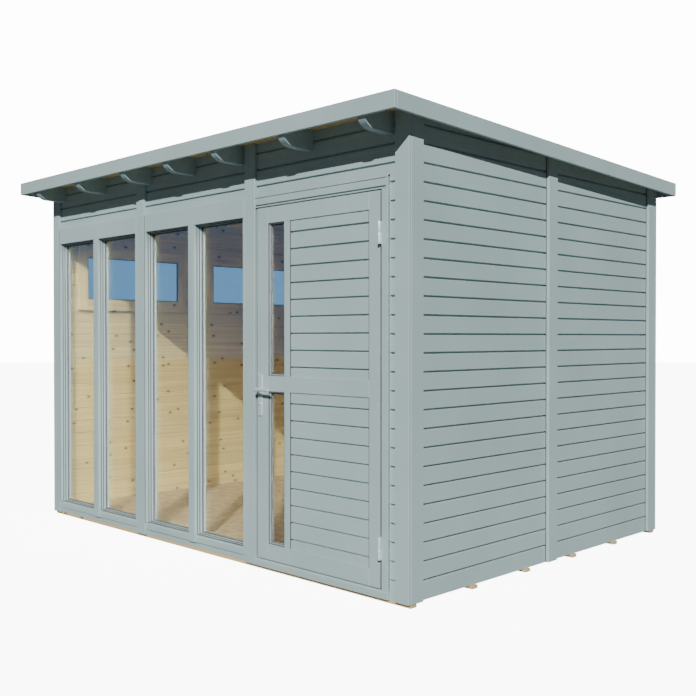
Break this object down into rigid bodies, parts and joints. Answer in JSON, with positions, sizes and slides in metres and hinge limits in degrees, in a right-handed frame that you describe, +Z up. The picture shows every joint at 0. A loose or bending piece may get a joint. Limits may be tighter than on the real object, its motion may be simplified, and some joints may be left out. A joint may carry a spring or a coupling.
{
  "type": "garden office pod",
  "caption": "Timber garden cabin with a glazed front, a part-glazed outward-opening door, high side windows and a low-pitch overhanging roof.",
  "frame": {"origin": "centre of the roof's plan at ground level, under the floor bearers", "axes": "+X along the front to the right as seen from outside, +Y from the glazed front to the back, +Z up"},
  "size_m": [3.57, 2.728, 2.361],
  "materials": {
    "painted_wood": "blue-grey opaque paint on planed softwood",
    "natural_wood": "bare planed softwood",
    "soffit_wood": "bare roof boards",
    "roof_felt": "mineral-faced bitumen felt",
    "glass": "clear float glass",
    "hinge_steel": "bright zinc-plated steel",
    "handle_metal": "satin aluminium"
  },
  "bodies": {
    "building": {"floor_bearers": "natural_wood", "floor_deck": "natural_wood", "corner_trim_front_left": "painted_wood", "corner_trim_front_right": "painted_wood", "corner_trim_rear_left": "painted_wood", "corner_trim_rear_right": "painted_wood", "front_battens": "painted_wood", "rear_battens": "painted_wood", "side_batten_left": "painted_wood", "side_batten_right": "painted_wood", "front_base_board": "painted_wood", "window_frame_left": "painted_wood", "window_frame_right": "painted_wood", "window_glass_left": "glass", "window_glass_right": "glass", "front_header_left": "painted_wood", "front_header_middle": "painted_wood", "front_header_right": "painted_wood", "front_strip_boards": "painted_wood", "door_threshold": "painted_wood", "door_head": "painted_wood", "door_jamb_left": "painted_wood", "door_jamb_right": "painted_wood", "frame_hinges": "hinge_steel", "right_wall_front": "painted_wood", "right_wall_rear": "painted_wood", "left_wall_front": "painted_wood", "left_wall_rear": "painted_wood", "side_window_frames": "painted_wood", "side_window_glass": "glass", "rear_wall_left": "painted_wood", "rear_wall_middle": "painted_wood", "rear_wall_right": "painted_wood", "rafters": "painted_wood", "roof_boards": "soffit_wood", "roof_felt": "roof_felt", "fascia_front": "painted_wood", "fascia_rear": "painted_wood", "fascia_left": "painted_wood", "fascia_right": "painted_wood"},
    "door": {"door_leaf": "painted_wood", "door_boards": "painted_wood", "door_glass": "glass", "door_hinges": "hinge_steel", "handle_plates": "handle_metal"},
    "lever": {"lever_handles": "handle_metal"}
  },
  "joints": [
    {"name": "door_swing", "type": "hinge", "parent": "building", "child": "door", "pos_m": [1.5155, -1.1725, 1], "axis": [0, 0, 1], "range_deg": [0, 170]},
    {"name": "lever_turn", "type": "hinge", "parent": "door", "child": "lever", "pos_m": [0.623, -1.157, 0.984], "axis": [0, 1, 0], "range_deg": [0, 40], "stiffness_Nm_per_rad": 1.2, "springref_deg": -34.38}
  ]
}
